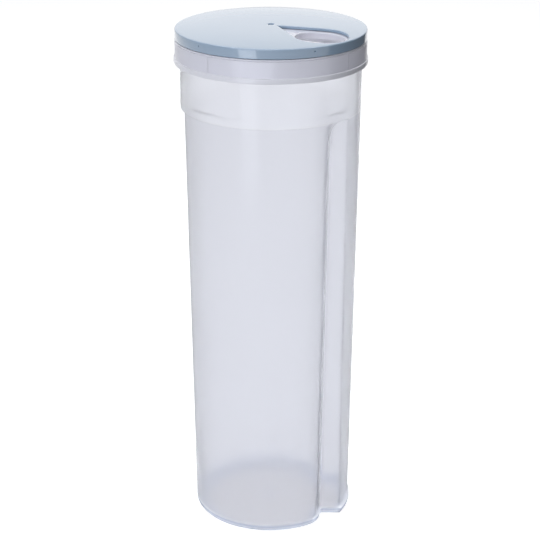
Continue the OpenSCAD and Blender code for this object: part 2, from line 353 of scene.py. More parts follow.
def lofted(
    name: str, rows: Sequence[tuple[np.ndarray, Heights]], sharp: float = 40.0, ring: bool = False
) -> Piece:
    """Makes a solid from loops of points, with a flat cap at either end.

    Args:
        name: The object's name.
        rows: The points of each loop in plan, and their height or heights.
        sharp: Edges that turn by more than this many degrees stay sharp.
        ring: Whether the last loop joins the first instead.

    Returns:
        The object.
    """
    skin = Skin()
    loops = [skin.loop(xy, z) for xy, z in rows]
    if ring:
        skin.bands([*loops, loops[0]])
    else:
        skin.solid(loops)
    return skin.build(name, sharp)


def keep_result(piece: Piece, modifier: bpy.types.Modifier, sharp: float) -> bpy.types.Mesh:
    """Keeps what a modifier makes as the piece's plain mesh, and removes the modifier.

    Args:
        piece: The piece.
        modifier: The modifier on it.
        sharp: Edges that turn by more than this many degrees stay sharp.

    Returns:
        The new mesh.
    """
    graph = bpy.context.evaluated_depsgraph_get()
    graph.update()
    mesh = bpy.data.meshes.new_from_object(piece.evaluated_get(graph))
    piece.modifiers.remove(modifier)
    old, piece.data = piece.data, mesh
    bpy.data.meshes.remove(old)
    mesh.name = piece.name
    soften(mesh, sharp)
    return mesh


def combined(piece: Piece, tool: Piece, join: Join) -> None:
    """Joins a closed tool to a closed piece, or cuts it out, and drops the tool.

    Args:
        piece: The piece that changes.
        tool: The other solid.
        join: Whether the tool is added or cut out.
    """
    modifier = piece.modifiers.new("combined", "BOOLEAN")
    modifier.operation = join.value
    modifier.solver = "MANIFOLD"
    modifier.object = tool
    keep_result(piece, modifier, sharp=38.0)
    used = tool.data
    bpy.data.objects.remove(tool)
    bpy.data.meshes.remove(used)


# -------- node trees


class Nodes:
    """A node tree, with short ways to add nodes and to feed them."""

    def __init__(self, tree: bpy.types.NodeTree) -> None:
        """Wraps a node tree."""
        self.tree = tree

    def put(self, source: object, target: Socket) -> None:
        """Links a socket to the target, or sets the target to a plain value.

        Args:
            source: The socket or the value.
            target: The input that it feeds.
        """
        if isinstance(source, Socket):
            self.tree.links.new(source, target)
        else:
            target.default_value = source

    def node(
        self, kind: str, feed: dict[str | int, object] | None = None, **settings: object
    ) -> bpy.types.Node:
        """Adds a node.

        Args:
            kind: The node's type.
            feed: What goes into its inputs: sockets or plain values.
            **settings: Its properties.

        Returns:
            The node.
        """
        node = self.tree.nodes.new(kind)
        for key, setting in settings.items():
            setattr(node, key, setting)
        for key, source in (feed or {}).items():
            self.put(source, node.inputs[key])
        return node

    def maths(self, operation: str, *terms: object, clamp: bool = False) -> Socket:
        """Returns the output of a Math node, which takes sockets or numbers."""
        feed = dict(enumerate(terms))
        return self.node("ShaderNodeMath", feed, operation=operation, use_clamp=clamp).outputs[0]


class GeometryTree(Nodes):
    """A Geometry Nodes tree that is built in code and baked into a plain mesh."""

    def __init__(self, name: str, **inputs: str) -> None:
        """Starts a tree that takes a geometry, the named inputs and a material.

        Args:
            name: The tree's name.
            **inputs: The inputs' names, with _ for a space, and their types.
        """
        super().__init__(bpy.data.node_groups.new(name, "GeometryNodeTree"))
        face = self.tree.interface
        face.new_socket("Geometry", in_out="OUTPUT", socket_type="NodeSocketGeometry")
        self.sockets: dict[str, str] = {}
        for key, kind in {"Geometry": "Geometry", **inputs, "Material": "Material"}.items():
            socket = face.new_socket(
                key.replace("_", " "), in_out="INPUT", socket_type=f"NodeSocket{kind}"
            )
            self.sockets[key] = socket.identifier
        self.inputs = self.node("NodeGroupInput")

    def given(self, name: str) -> Socket:
        """Returns the socket of a named input."""
        return self.inputs.outputs[name]

    def upright(self, z: Socket) -> Socket:
        """Returns a vector that is z along the axis."""
        return self.node("ShaderNodeCombineXYZ", {"Z": z}).outputs[0]

    def end(self, result: Socket) -> None:
        """Ends the tree in Realize Instances and Set Material.

        Args:
            result: The geometry that the tree has made.
        """
        real = self.node("GeometryNodeRealizeInstances", {"Geometry": result})
        dress = self.node("GeometryNodeSetMaterial", {
            "Geometry": real.outputs["Geometry"], "Material": self.given("Material")})
        self.node("NodeGroupOutput", {"Geometry": dress.outputs["Geometry"]})

    def bake(self, piece: Piece, sharp: float, **values: object) -> None:
        """Runs the tree on a piece and keeps the result as its plain mesh.

        Args:
            piece: The object that the tree works on.
            sharp: Edges that turn by more than this many degrees stay sharp.
            **values: The inputs by name, with _ for a space.
        """
        modifier = piece.modifiers.new(self.tree.name, "NODES")
        modifier.node_group = self.tree
        for key, setting in values.items():
            modifier[self.sockets[key]] = setting
        mesh = keep_result(piece, modifier, sharp)
        if DOME_WEIGHT in mesh.attributes:
            mesh.attributes.remove(mesh.attributes[DOME_WEIGHT])


def dome_tree() -> GeometryTree:
    """Builds the tree that lowers a flat plate into the shared dome.

    Returns:
        The tree, with the inputs Rise, Radius and Material.
    """
    t = GeometryTree("dome_plate", Rise="Float", Radius="Float")
    place = t.node("GeometryNodeInputPosition").outputs[0]
    at = t.node("ShaderNodeSeparateXYZ", {0: place}).outputs
    squares = [t.maths("MULTIPLY", at[axis], at[axis]) for axis in "XY"]
    share = t.maths("DIVIDE", t.maths("SQRT", t.maths("ADD", *squares)), t.given("Radius"))
    fall = t.maths("MULTIPLY", t.maths("POWER", share, DOME_POWER), t.given("Rise"))
    weight = t.node("GeometryNodeInputNamedAttribute", {"Name": DOME_WEIGHT}, data_type="FLOAT")
    lowered = t.maths("MULTIPLY", t.maths("MULTIPLY", fall, weight.outputs["Attribute"]), -1)
    move = t.node("GeometryNodeSetPosition", {
        "Geometry": t.given("Geometry"), "Offset": t.upright(lowered)})
    t.end(move.outputs["Geometry"])
    return t


def round_tree() -> GeometryTree:
    """Builds the tree that repeats a small form evenly round the axis.

    Returns:
        The tree, with the inputs Count, First turn and Material.
    """
    t = GeometryTree("repeat_round_axis", Count="Int", First_turn="Float")
    points = t.node("GeometryNodePoints", {"Count": t.given("Count")})
    index = t.node("GeometryNodeInputIndex").outputs[0]
    step = t.maths("DIVIDE", math.tau, t.given("Count"))
    turn = t.maths("ADD", t.maths("MULTIPLY", index, step), t.given("First turn"))
    place = t.node("GeometryNodeInstanceOnPoints", {
        "Points": points.outputs[0], "Instance": t.given("Geometry"),
        "Rotation": t.upright(turn)})
    t.end(place.outputs["Instances"])
    return t


def ring_tree() -> GeometryTree:
    """Builds the tree that sweeps a rounded bar round the axis.

    Returns:
        The tree, with the inputs Ring radius, Height, Width, Thickness, Edge and Material.
    """
    t = GeometryTree("swept_ring", Ring_radius="Float", Height="Float", Width="Float",
                     Thickness="Float", Edge="Float")
    path = t.node("GeometryNodeCurvePrimitiveCircle", {
        "Resolution": RING_STEPS, "Radius": t.given("Ring radius")})
    raised = t.node("GeometryNodeSetPosition", {
        "Geometry": path.outputs["Curve"], "Offset": t.upright(t.given("Height"))})
    bar = t.node("GeometryNodeCurvePrimitiveQuadrilateral", {
        "Width": t.given("Width"), "Height": t.given("Thickness")})
    edge = t.node("GeometryNodeFilletCurve", {
        "Count": EDGE_STEPS, "Curve": bar.outputs["Curve"], "Radius": t.given("Edge")}, mode="POLY")
    sweep = t.node("GeometryNodeCurveToMesh", {
        "Curve": raised.outputs["Geometry"], "Profile Curve": edge.outputs["Curve"]})
    t.end(sweep.outputs["Mesh"])
    return t


# -------- finishes


class ShaderTree(Nodes):
    """A material's or shader group's nodes."""

    def tint(self, share: object, low: object, high: Rgb) -> Socket:
        """Mixes two colours.

        Args:
            share: How far to go from low to high, a socket or a number.
            low: The colour at 0, a socket or a plain colour.
            high: The colour at 1.

        Returns:
            The mixed colour.
        """
        first = low if isinstance(low, Socket) else (*low, 1.0)
        feed = {"Factor": share, 6: first, 7: (*high, 1.0)}
        return self.node("ShaderNodeMix", feed, data_type="RGBA").outputs[2]

    def ramp(self, value: object, start: float, end: float) -> Socket:
        """Turns a value into a share that goes smoothly from 0 to 1.

        Args:
            value: The value, a socket or a number.
            start: Where the share is 0.
            end: Where the share is 1.

        Returns:
            The share.
        """
        feed = {"Value": value, "From Min": start, "From Max": end}
        node = self.node("ShaderNodeMapRange", feed, interpolation_type="SMOOTHSTEP")
        return node.outputs["Result"]

    def seen_directly(self) -> Socket:
        """Tells what is seen from what only lights other things.

        Returns:
            1 for camera, glossy and transmission rays, and 0 for the rest.
        """
        path = self.node("ShaderNodeLightPath").outputs
        rays = self.maths("ADD", path["Is Camera Ray"], path["Is Glossy Ray"])
        return self.maths("ADD", rays, path["Is Transmission Ray"], clamp=True)


def new_material(name: str) -> tuple[bpy.types.Material, ShaderTree]:
    """Makes a material that has no nodes yet.

    Args:
        name: The material's name.

    Returns:
        The material, and its empty tree.
    """
    made = bpy.data.materials.new(name)
    made.use_nodes = True
    made.node_tree.nodes.clear()
    return made, ShaderTree(made.node_tree)


def moulded_group() -> bpy.types.NodeTree:
    """Builds the group for what moulded plastic shows: grain, flow and handling marks.

    Returns:
        The group. It reads Object coordinates, and puts out a Height for the surface's
        grain, a Flow value for slow changes of tone, and a Wear mask.
    """
    group = bpy.data.node_groups.new("moulded_surface", "ShaderNodeTree")
    face = group.interface
    face.new_socket("Vector", in_out="INPUT", socket_type="NodeSocketVector")
    for name, start in (("Grain scale", 2500.0), ("Flow scale", 30.0), ("Wear scale", 240.0)):
        socket = face.new_socket(name, in_out="INPUT", socket_type="NodeSocketFloat")
        socket.default_value = start
    for name in ("Height", "Flow", "Wear"):
        face.new_socket(name, in_out="OUTPUT", socket_type="NodeSocketFloat")
    t = ShaderTree(group)
    given = t.node("NodeGroupInput").outputs

    def layer(scale: str, detail: float) -> Socket:
        """Returns a noise layer at the named scale."""
        feed = {"Vector": given["Vector"], "Scale": given[scale], "Detail": detail}
        return t.node("ShaderNodeTexNoise", feed, noise_dimensions="3D").outputs["Fac"]

    marks = t.maths("SUBTRACT", layer("Wear scale", 6.0), WEAR_START, clamp=True)
    t.node("NodeGroupOutput", {
        "Height": layer("Grain scale", 2.0),
        "Flow": layer("Flow scale", 3.0),
        "Wear": t.maths("MULTIPLY", marks, WEAR_SHARE, clamp=True),
    })
    return group


@dataclass(frozen=True)
class Zone:
    """A band of height, in metres, where a moulding gets another tone laid over its own: painted
    highlights, painted shade and painted light.
    """

    tone: Rgb
    start: float
    full: float

    def over(self, t: ShaderTree, where: object, below: object) -> Socket:
        """Returns the colour below with the zone's tone laid over it, by Object height."""
        height = t.node("ShaderNodeSeparateXYZ", {0: where}).outputs["Z"]
        return t.tint(t.ramp(height, self.start, self.full), below, self.tone)


@dataclass(frozen=True)
class Finish:
    """A moulded plastic, opaque or clear. Its depths are metres."""

    name: str
    deep: Rgb
    pale: Rgb
    roughness: float
    zones: tuple[Zone, ...] = ()
    ior: float = 1.5
    clear: float = 0.0
    coat: float = 0.0
    coat_roughness: float = 0.04
    scatter: float = 0.0
    scatter_depth: float = 0.0015
    grain_depth: float = 0.00001
    flow_scale: float = 30.0
    flow_rough: float = 0.08
    wear_rough: float = 0.10

    def material(self, group: bpy.types.NodeTree) -> bpy.types.Material:
        """Makes the material.

        Args:
            group: The shared group for moulded surfaces.

        Returns:
            The material.
        """
        made, t = new_material(self.name)
        where = t.node("ShaderNodeTexCoord").outputs["Object"]
        feed = {"Vector": where, "Flow scale": self.flow_scale}
        moulded = t.node("ShaderNodeGroup", feed, node_tree=group).outputs
        tone = t.tint(moulded["Flow"], self.deep, self.pale)
        # The zones lay painted highlights, painted shade and painted light over the plastic's tone,
        # by height.
        for zone in self.zones:
            tone = zone.over(t, where, tone)
        rough = t.maths("MULTIPLY", moulded["Flow"], self.flow_rough)
        if self.wear_rough:
            worn = t.maths("MULTIPLY", moulded["Wear"], self.wear_rough)
            rough = t.maths("ADD", rough, worn)
        bump = t.node("ShaderNodeBump", {
            "Distance": self.grain_depth, "Height": moulded["Height"]})
        surface = t.node("ShaderNodeBsdfPrincipled", {
            "Base Color": tone,
            "Roughness": t.maths("ADD", rough, self.roughness - self.flow_rough / 2),
            "Normal": bump.outputs[0],
            "IOR": self.ior,
            "Transmission Weight": self.clear,
            "Coat Weight": self.coat,
            "Coat Roughness": self.coat_roughness,
            "Subsurface Weight": self.scatter,
            "Subsurface Radius": (1.0, 1.0, 1.0),
            "Subsurface Scale": self.scatter_depth,
        })
        t.node("ShaderNodeOutputMaterial", {"Surface": surface.outputs[0]})
        return made


# Paler tone for the bright lines at the step and above the foot: a painted highlight.
PAINTED_HIGHLIGHT: Rgb = (0.97, 0.975, 0.98)
# Paler tone for the neck above the step: painted light that offsets the lid's shade there.
NECK: Rgb = (0.885, 0.89, 0.915)
FLOOR: Rgb = (0.803, 0.803, 0.828)
# Darker bluish tone for the bands round the foot and floor edge: painted shade.
PAINTED_FOOT_SHADE: Rgb = (0.46, 0.50, 0.61)

# A painted highlight line at the step, and the neck above it in a paler tone that is painted light
# against the lid's shade; then the foot's painted highlight line and its bands of painted shade
# from the top down. The floor's two faces lie between those bands and stay pale.
CANISTER_ZONES = (
    Zone(PAINTED_HIGHLIGHT, 0.2322, 0.2325),
    Zone(NECK, 0.2329, 0.2332),
    Zone(PAINTED_HIGHLIGHT, 0.0058, 0.0052),
    Zone(PAINTED_FOOT_SHADE, 0.0044, 0.0038),
    Zone(FLOOR, 0.00266, 0.00258),
    Zone(PAINTED_FOOT_SHADE, 0.00234, 0.00226),
    Zone(FLOOR, 0.00108, 0.0010),
    Zone(PAINTED_FOOT_SHADE, 0.0006, 0.0005),
)
FROSTED = Finish(
    "frosted_canister", (0.808, 0.813, 0.842), (0.828, 0.833, 0.862), 0.45, CANISTER_ZONES,
    ior=1.12, clear=0.95, coat=0.22, coat_roughness=0.1, scatter=1.0, scatter_depth=0.002,
    grain_depth=0.00002, flow_scale=14.0, flow_rough=0.04, wear_rough=0.0,
)
# The zone below about 260 mm makes the hem paler: painted light for the glow through the thin hem.
WHITE = Finish(
    "white_lid", (0.79, 0.78, 0.83), (0.83, 0.82, 0.87), 0.30,
    (Zone((0.88, 0.87, 0.90), 0.2602, 0.2592),), coat=0.4, scatter=0.5,
)
BLUE = Finish("pale_blue_dial", (0.315, 0.425, 0.54), (0.335, 0.445, 0.565), 0.22, coat=1.0)
RUBBER = Finish("seal_silicone", (0.66, 0.67, 0.70), (0.72, 0.73, 0.76), 0.55)


# -------- canister


@dataclass
class Canister:
    """The frosted canister: body with draft, grip spine, finger grooves and neck."""

    height: float = 266.0
    wall: float = 1.5
    floor_t: float = 2.4
    neck_h: float = 33.6
    step_lip_r: float = 0.6
    neck_r: float = 47.4
    step_in: float = 2.0
    body_draft: float = 1.0
    foot_edge_r: float = 3.6
    foot_recess: float = 0.8
    foot_ring_w: float = 2.0
    rim_bead: float = 0.6
    rim_bead_h: float = 2.2
    spine_w: float = 50.8
    spine_draft: float = 0.7
    spine_side_draft: float = 1.25
    spine_corner_r: float = 1.6
    foot_flare: float = 0.9
    foot_flare_h: float = 0.4
    foot_sweep_h: float = 5.6
    groove_depth_x: float = 34.0
    groove_draft: float = 0.75
    groove_turn: float = 8.0
    groove_edge_r: float = 12.0
    groove_root_r: float = 2.0
    groove_runout_h: float = 10.0
    notch: float = 1.2
    hair: float = 0.08
    blend_h: float = 5.0
    blend_steps: int = 14
    level_gap: float = 12.0
    gate_r: float = 2.5
    gate_h: float = 0.3

    def __post_init__(self) -> None:
        """Works out the heights and radii that follow from the sizes."""
        self.step_z = self.height - self.neck_h
        self.body_r = self.neck_r - self.step_in
        self.shell_r = self.neck_r - self.hair
        self.neck_in_r = self.neck_r - self.wall
        self.sweep_z = self.foot_edge_r + self.foot_flare_h
        self.sweep_top = self.sweep_z + self.foot_sweep_h
        self.grip_edge_r = 0.9 * self.foot_edge_r
        self.recess_in = self.foot_edge_r + self.foot_ring_w
        turn = math.radians(self.groove_turn)
        self.wall_out = np.array([math.cos(turn), -math.sin(turn)])
        self.wall_along = np.array([math.sin(turn), math.cos(turn)])

    def drawn_in(self, z: float, draft: float) -> float:
        """Returns how far a wall of that draft has drawn in from the step down to z."""
        return (self.step_z - z) * math.tan(math.radians(draft))

    def flare(self, z: float) -> float:
        """Returns how far the spine's foot flares out at height z."""
        return self.foot_flare * (1 - smooth((z - self.sweep_z) / self.foot_sweep_h))

    def body_at(self, z: float) -> float:
        """Returns the body's radius at height z."""
        return self.body_r - self.drawn_in(z, self.body_draft)

    def side_at(self, z: float) -> float:
        """Returns half the spine's width at height z."""
        return self.spine_w / 2 - self.drawn_in(z, self.spine_side_draft) + self.flare(z) / 2

    def groove_at(self, z: float, lift: float) -> float:
        """Distance of a groove's inner wall from the axis.

        Args:
            z: The height.
            lift: How much higher the groove's run-out starts, on the inside of the wall.

        Returns:
            The distance, which swings out to the body's surface below the step.
        """
        low = z - lift
        wide = self.groove_depth_x - self.drawn_in(z, self.groove_draft) + self.flare(z) / 2
        y = -(self.side_at(low) + self.notch)
        shut = float(self.wall_out @ np.array([math.sqrt(self.body_at(low) ** 2 - y * y), y]))
        u = max(0.0, min(1.0, 1 - (self.step_z - low) / self.groove_runout_h))
        return mix(wide, shut, 1 - math.sqrt(1 - u * u))

    def half_outline(
        self, body: float, spine: float, side: float, groove: float, inset: float
    ) -> np.ndarray:
        """Half of the outline, from the back round to the middle of the spine.

        Args:
            body: The body's radius.
            spine: The radius of the spine's outer face.
            side: Half the spine's width.
            groove: Distance of the groove's inner wall from the axis.
            inset: How far the outline has been drawn in, which its radii follow.

        Returns:
            The points.
        """
        turn = self.groove_turn
        sin_t, cos_t = math.sin(math.radians(turn)), math.cos(math.radians(turn))
        wall_len = (groove * sin_t - side) / cos_t + math.sqrt(body * body - groove * groove)
        half_turn = math.acos(groove / body) / 2
        edge = min(max(self.groove_edge_r - inset, 0.6), wall_len / 2 / math.tan(half_turn))
        root = min(self.groove_root_r + inset, 0.4 * wall_len)
        corner = max(self.spine_corner_r - inset, 0.4)
        reach = math.sqrt((body - edge) ** 2 - (groove - edge) ** 2)
        edge_c = (groove - edge) * self.wall_out - reach * self.wall_along
        root_y = -(side + root)
        root_c = ((groove + root + sin_t * root_y) / cos_t, root_y)
        corner_y = corner - side
        corner_c = (math.sqrt((spine - corner) ** 2 - corner_y**2), corner_y)
        edge_a = math.degrees(math.atan2(edge_c[1], edge_c[0]))
        corner_a = math.degrees(math.atan2(corner_c[1], corner_c[0]))
        round_edge = arc(edge_c, edge, edge_a, -turn, 20, 1)
        round_root = arc(root_c, root, 180 - turn, 90, 12)
        round_corner = arc(corner_c, corner, -90, corner_a, 12)
        return np.vstack([
            arc((0, 0), body, -180, edge_a, 112),
            round_edge,
            np.linspace(round_edge[-1], round_root[0], 8)[1:-1],
            round_root,
            np.linspace(round_root[-1], round_corner[0], 6)[1:-1],
            round_corner,
            arc((0, 0), spine, corner_a, 0, 36, 1),
        ])

    def outline(
        self, z: float, inset: float = 0.0, lift: float = 0.0, grip: float | None = None
    ) -> np.ndarray:
        """The whole outline at height z.

        Args:
            z: The height.
            inset: How far the body is drawn in.
            lift: How much higher the groove's run-out starts.
            grip: How far the spine and grooves are drawn in, where that differs.

        Returns:
            The points, once round.
        """
        g = inset if grip is None else grip
        spine = self.shell_r - self.drawn_in(z, self.spine_draft) + self.flare(z)
        side, groove = self.side_at(z) - g, self.groove_at(z, lift) - g
        half = self.half_outline(self.body_at(z) - inset, spine - g, side, groove, g)
        return np.vstack([half, half[-2:0:-1] * [1, -1]])

    @staticmethod
    def edge_inset(z: float, r: float) -> float:
        """Returns how far a wall is drawn in at height z by a rounded bottom edge."""
        return r - math.sqrt(r * r - (r - z) ** 2) if z < r else 0.0

    @staticmethod
    def pushed_out(points: np.ndarray, r: float) -> np.ndarray:
        """Returns the points pushed out to radius r where they lie inside it."""
        return points * np.maximum(1, r / np.linalg.norm(points, axis=1, keepdims=True))

    @staticmethod
    def on_circle(points: np.ndarray, r: float) -> np.ndarray:
        """Returns points on a circle of radius r, in the directions of the given ones."""
        return points * (r / np.linalg.norm(points, axis=1, keepdims=True))

    def outer_loops(self, skin: Skin) -> list[Loop]:
        """Adds the loops of the outside.

        Args:
            skin: The skin that takes them.

        Returns:
            The loops, from the recess under the floor up to the rim.
        """
        put = skin.loop
        soft = self.recess_in + 0.6
        recess = ((soft + 0.2, self.foot_recess), (soft, self.foot_recess - 0.05),
                  (self.recess_in + 0.15, 0.1), (self.recess_in, 0.0))
        loops = [put(self.outline(0, inset), z) for inset, z in recess]
        r = self.foot_edge_r
        for _, z in rounding(r, 12):
            inset, grip = self.edge_inset(z, r), self.edge_inset(z, self.grip_edge_r)
            loops.append(put(self.outline(z, inset, 0, grip), z))
        start = self.step_z - self.groove_runout_h
        levels = [
            *np.linspace(self.sweep_z, self.sweep_top, 16),
            *np.linspace(self.sweep_top + self.level_gap, start - self.level_gap, 14),
            *(self.step_z - down for down, _ in rounding(self.groove_runout_h, 21)),
        ]
        loops += [put(self.outline(z), z) for z in levels]
        under, lip_r = self.outline(self.step_z), self.step_lip_r
        for _, down in reversed(rounding(lip_r, 7)):
            swell = lip_r * math.sqrt(max(0.0, 1 - (down / lip_r) ** 2))
            ring = self.pushed_out(under, self.shell_r - lip_r + swell)
            loops.append(put(ring, self.step_z + 0.15 + lip_r - down))
        bead_z = self.height - self.rim_bead_h
        rim_r = self.neck_r + self.rim_bead
        lip = self.wall / 3
        neck = [(self.neck_r, self.step_z + 3), (self.neck_r, self.step_z + 9),
                (self.neck_r, bead_z - 10), (self.neck_r, bead_z - self.rim_bead),
                (rim_r - 0.05, bead_z - 0.05), (rim_r, bead_z + 0.05),
                *arc((rim_r - lip, self.height - lip), lip, 0, 90, 6)]
        return loops + [put(self.on_circle(under, radius), z) for radius, z in neck]

    def inner_loops(self, skin: Skin) -> list[Loop]:
        """Adds the loops of the inside.

        Args:
            skin: The skin that takes them.

        Returns:
            The loops, from the rim down to the floor.
        """
        put = skin.loop
        wall, lip = self.wall, self.wall / 3
        inner_z = self.step_z + wall
        over = self.outline(inner_z, wall, wall)
        neck = [
            *arc((self.neck_in_r + lip, self.height - lip), lip, 90, 180, 6),
            *((self.neck_in_r, z)
              for z in np.linspace(self.height - 8, inner_z + self.blend_h + 4, 3)),
        ]
        loops = [put(self.on_circle(over, radius), z) for radius, z in neck]
        least = float(np.min(np.linalg.norm(over, axis=1)))
        for i in range(self.blend_steps, 0, -1):
            share = i / self.blend_steps
            radius = mix(least, self.neck_in_r, smooth(share))
            loops.append(put(self.pushed_out(over, radius), inner_z + self.blend_h * share))
        start = inner_z - self.groove_runout_h
        levels = [
            *(inner_z - down for down, _ in reversed(rounding(self.groove_runout_h, 16))),
            *np.linspace(start - self.level_gap, self.sweep_top + self.level_gap / 2, 12),
        ]
        loops += [put(self.outline(z, wall, wall), z) for z in levels]
        round_in = self.foot_edge_r - wall / 2
        for _, up in reversed(rounding(round_in, 8)):
            z = self.floor_t + up
            inset = wall + self.edge_inset(z - self.floor_t, round_in)
            loops.append(put(self.outline(max(z, self.sweep_top), inset, wall), z))
        return loops

    def build(self) -> Piece:
        """Builds the canister as one closed shell.

        Returns:
            The object.
        """
        skin = Skin()
        outer, inner = self.outer_loops(skin), self.inner_loops(skin)
        skin.bands(outer + inner)
        gate = circle(self.gate_r, 48)
        underside = self.outline(0, self.recess_in + 0.8)
        skin.patch(underside, [gate], self.foot_recess, domed=0, pitch=4.0)
        gate_top = skin.loop(gate, self.foot_recess + self.gate_h)
        skin.bands([skin.loop(gate, self.foot_recess), gate_top])
        skin.cap(gate_top)
        skin.cap(inner[-1])
        return skin.build("canister_shell", sharp=32)


# -------- lid


@dataclass
class LidSizes:
    """Sizes that the lid and the dial share."""

    lid_r: float = 50.0
    rim_z: float = 266.0
    neck_in_r: float = 45.9
    seat_z: float = 266.6
    ledge_z: float = 269.1
    hem_z: float = 256.85
    hub_z: float = 268.5
    dial_z: float = 269.4
    dial_t: float = 1.4
    dial_gap: float = 0.3
    plate_t: float = 1.6
    opening: DropOutline = DropOutline(5.5, 0.5, 34.1, 14.2, SPOUT_TURN)
    pour_hole: DropOutline = DropOutline(30.0, 10.0, 34.4, 12.2, SPOUT_TURN)
    dome: Dome = Dome(276.0, 1.45, 49.3)

    @property
    def dial_in_r(self) -> float:
        """Inner radius of the dial's skirt."""
        return self.lid_r - 1.5


@dataclass
class LidCap:
    """The white press-on lid: skirt, ledge, drum and domed plate with the pour hole."""

    sizes: LidSizes
    flange_h: float = 0.8
    notch: float = 0.4
    hem_bead: float = 0.6
    hem_h: float = 2.7
    soft: float = 0.3
    skirt_in_r: float = 48.4
    snap_r: float = 48.15
    snap_under: float = 2.2
    snap_corners: tuple[float, ...] = (1.9, 1.6, 1.2, 0.9)
    seal_in_r: float = 46.4
    seal_out_r: float = 48.1
    seal_top: float = 267.65
    drum_r: float = 47.45
    drum_bead_r: float = 48.2
    drum_bead_z: float = 270.8
    drum_edge: float = 0.5
    collar_h: float = 3.3
    collar_t: float = 1.2
    collar_lap: float = 0.8
    bore_r: float = 3.05
    hub_r: float = 5.15
    rim_soft: float = 0.35
    plate_mid: float = 0.8
    collar_limit: float = 47.2
    gate_at: float = 17.8
    gate_r: float = 1.3
    gate_depth: float = 0.4
    line_count: int = 4
    line_turn: float = -38.9
    line_out: float = 0.07

    def skirt_profile(self) -> np.ndarray:
        """The profile of the outside and the underside, from the drum's top inwards.

        Returns:
            Rows of radius and height.
        """
        s, soft = self.sizes, self.soft
        flange = s.ledge_z - self.flange_h
        hem_r = s.lid_r + self.hem_bead - soft
        hem_top = s.hem_z + self.hem_h
        foot, low, high, top = (s.rim_z - self.snap_under - down for down in self.snap_corners)
        return np.vstack([
            [[self.drum_bead_r, self.drum_bead_z + 0.375], [self.drum_r, self.drum_bead_z],
             [self.drum_r, s.ledge_z + 0.15], [self.drum_r + 0.15, s.ledge_z]],
            arc((s.lid_r - soft, s.ledge_z - soft), soft, 90, 0, 5),
            [[s.lid_r, flange + 0.08], [s.lid_r - 0.06, flange],
             [s.lid_r - self.notch, flange - self.notch / 2 + 0.03],
             [s.lid_r - self.notch, flange - self.notch / 2 - 0.03],
             [s.lid_r - 0.06, flange - self.notch], [s.lid_r, flange - self.notch - 0.08]],
            [[s.lid_r, hem_top + 0.3], [s.lid_r + 0.08, hem_top + 0.1]],
            arc((hem_r, hem_top - soft), soft, 80, 0, 5),
            arc((hem_r, s.hem_z + soft), soft, 0, -90, 5),
            arc((self.skirt_in_r + soft, s.hem_z + 0.15), 0.15, -90, -160, 3),
            [[self.skirt_in_r, s.hem_z + 3 * soft], [self.skirt_in_r, foot],
             [self.snap_r, low], [self.snap_r, high],
             [self.skirt_in_r, top], [self.skirt_in_r, s.seat_z],
             [self.seal_out_r, s.seat_z], [self.seal_out_r, self.seal_top],
             [self.seal_in_r, self.seal_top], [self.seal_in_r, s.seat_z],
             [s.neck_in_r + 0.1, s.seat_z], [s.neck_in_r, s.seat_z + 0.1]],
        ])

    def under_dial(self, r: Heights, depth: float = 0.0) -> Heights:
        """Returns the height of the plate's top at radius r, less a depth."""
        s = self.sizes
        return s.dome.top_z - s.dome.drop(r) - s.dial_t - s.dial_gap - depth

    def plate_line(self, start: float, end: float, depth: float) -> np.ndarray:
        """Returns rows of radius and height along the domed plate, about 2 mm apart."""
        r = np.linspace(start, end, max(2, round(abs(end - start) / 2.0)) + 1)
        return np.column_stack([r, self.under_dial(r, depth)])

    def turned_part(self) -> Piece:
        """Builds everything that is round: plate, drum, skirt and hub.

        Returns:
            The object.
        """
        s = self.sizes
        bead_r, hub_z = self.drum_bead_r, s.hub_z
        profile = np.vstack([
            self.plate_line(self.bore_r + 0.15, bead_r - self.drum_edge, 0.0),
            [(bead_r - inset, self.under_dial(bead_r - inset, down))
             for inset, down in rounding(self.drum_edge, 5)[1:]],
            self.skirt_profile(),
            [[s.neck_in_r, self.under_dial(s.neck_in_r, s.plate_t + 0.25)],
             [s.neck_in_r - 0.07, self.under_dial(s.neck_in_r, s.plate_t + 0.07)]],
            self.plate_line(s.neck_in_r - 0.25, self.hub_r + 0.2, s.plate_t),
            [[self.hub_r, self.under_dial(self.hub_r, s.plate_t + 0.2)],
             [self.hub_r, hub_z + 0.2], [self.hub_r - 0.2, hub_z],
             [self.bore_r + 0.15, hub_z], [self.bore_r, hub_z + 0.15],
             [self.bore_r, self.under_dial(0, 0.15)]],
        ])
        return lofted("lid_cap", [(circle(r), z) for r, z in profile], ring=True)

    def collar(self) -> Piece:
        """Builds the collar below the pour hole, open in the middle.

        Returns:
            The object.
        """
        rows = []
        for grow, depth in ((-self.collar_lap, self.plate_mid),
                            (-self.collar_lap, self.collar_h),
                            (self.collar_t - 0.3, self.collar_h),
                            (self.collar_t - 0.09, self.collar_h - 0.09),
                            (self.collar_t, self.collar_h - 0.3),
                            (self.collar_t, self.plate_mid)):
            xy = self.sizes.pour_hole.points(grow)
            r = np.linalg.norm(xy, axis=1)
            xy = xy * np.minimum(1, self.collar_limit / r)[:, None]
            rows.append((xy, self.under_dial(np.minimum(r, self.collar_limit), depth)))
        return lofted("collar", rows, ring=True)

    def hole_cutter(self) -> Piece:
        """Builds the solid that opens the pour hole, with a rounded edge at its top.

        Returns:
            The object.
        """
        s = self.sizes
        rows: list[tuple[np.ndarray, Heights]] = [(s.pour_hole.points(), s.ledge_z)]
        for inset, down in reversed(rounding(self.rim_soft, 7)[1:]):
            xy = s.pour_hole.points(inset)
            rows.append((xy, self.under_dial(np.linalg.norm(xy, axis=1), down)))
        return lofted("hole_cutter", [*rows, (s.pour_hole.points(self.rim_soft), s.dome.top_z)])

